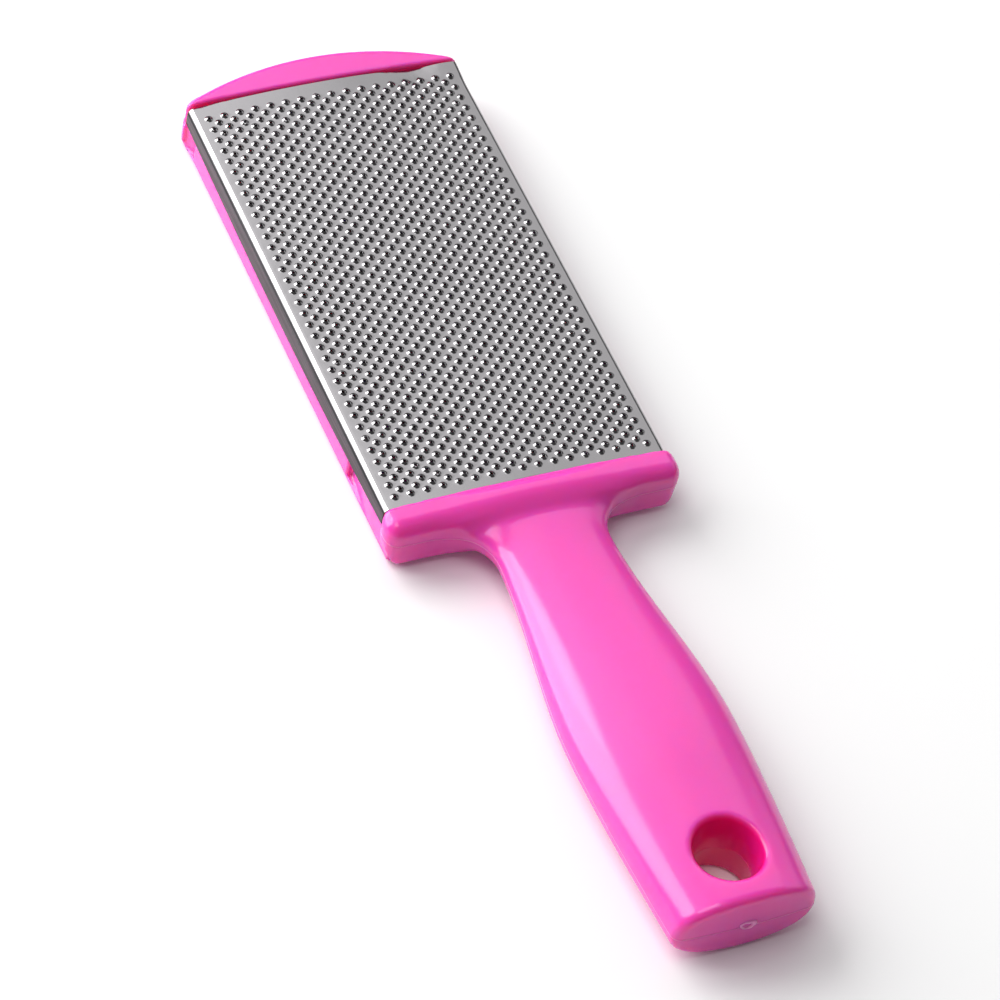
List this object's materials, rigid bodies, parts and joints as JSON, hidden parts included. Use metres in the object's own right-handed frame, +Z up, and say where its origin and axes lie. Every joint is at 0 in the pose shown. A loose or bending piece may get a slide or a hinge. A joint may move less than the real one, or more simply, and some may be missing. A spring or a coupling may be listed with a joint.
{
  "type": "foot rasp",
  "caption": "Flat foot rasp: punched steel plate with folded edges on a glossy one-piece pink plastic handle and frame with a hanging hole; fine grit pad underneath.",
  "frame": {"origin": "under the middle of the whole tool, on the surface that it rests on, rasp face up", "axes": "+X across the tool, +Y from the handle towards the head, +Z up out of the rasp face"},
  "size_m": [0.056, 0.197, 0.0139],
  "materials": {
    "pink_plastic": "glossy injection-moulded plastic, warm pink, coloured right through",
    "punched_steel": "bright rolled stainless sheet with punched, open-topped teeth",
    "fine_grit": "fine mineral grit bonded to a dark grey backing"
  },
  "bodies": {
    "root": {"handle_frame": "pink_plastic", "rasp_plate": "punched_steel", "smoothing_pad": "fine_grit"}
  },
  "joints": []
}
